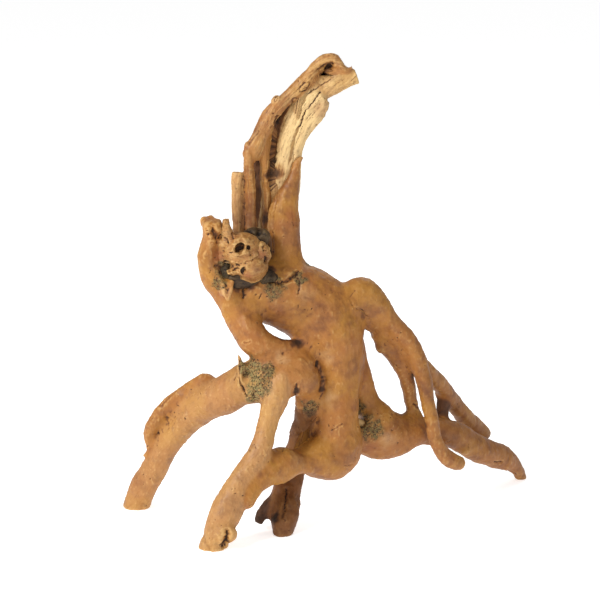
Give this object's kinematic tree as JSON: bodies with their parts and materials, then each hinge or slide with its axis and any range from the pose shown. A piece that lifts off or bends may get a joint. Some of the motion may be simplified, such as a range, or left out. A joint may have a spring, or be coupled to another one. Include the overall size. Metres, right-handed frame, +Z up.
{
  "type": "root wood carving",
  "caption": "Free-standing carving of a rearing beast built from coped and dowelled natural roots, with a knotty head, a tall hollow mane and root legs.",
  "frame": {"origin": "bottom centre of the bounding box, on the surface that the feet stand on", "axes": "+Z up, +Y away from the face towards the back of the mane, +X towards the thin hanging roots and the long right root"},
  "size_m": [0.4272, 0.2362, 0.4688],
  "materials": {
    "root_wood": "waxed golden-brown root wood with darker crevices",
    "pale_wood": "waxed pale sapwood with worn cream edges",
    "dark_wood": "dark brown weathered heartwood",
    "joint_filler": "gritty greenish sawdust and glue filler",
    "dark_filler": "dark lumpy sawdust and glue filler",
    "dowel_wood": "plain beech dowel"
  },
  "bodies": {
    "root": {"torso": "root_wood", "left_arm": "root_wood", "knee_boss": "root_wood", "knee_filler": "joint_filler", "left_leg": "root_wood", "side_root": "root_wood", "front_leg": "root_wood", "back_leg": "dark_wood", "back_spur": "dark_wood", "right_arm": "root_wood", "inner_strand": "root_wood", "flank": "root_wood", "haunch": "root_wood", "right_root": "root_wood", "far_root": "root_wood", "rear_peg": "root_wood", "mane_wall": "root_wood", "mane_back": "dark_wood", "mane_plate": "pale_wood", "mane_tip": "pale_wood", "mane_crest": "root_wood", "mane_rib": "root_wood", "mane_rod_long": "root_wood", "mane_rod_short": "root_wood", "skull": "pale_wood", "nape": "dark_filler", "thick_dowels": "dowel_wood", "thin_dowels": "dowel_wood"}
  },
  "joints": []
}
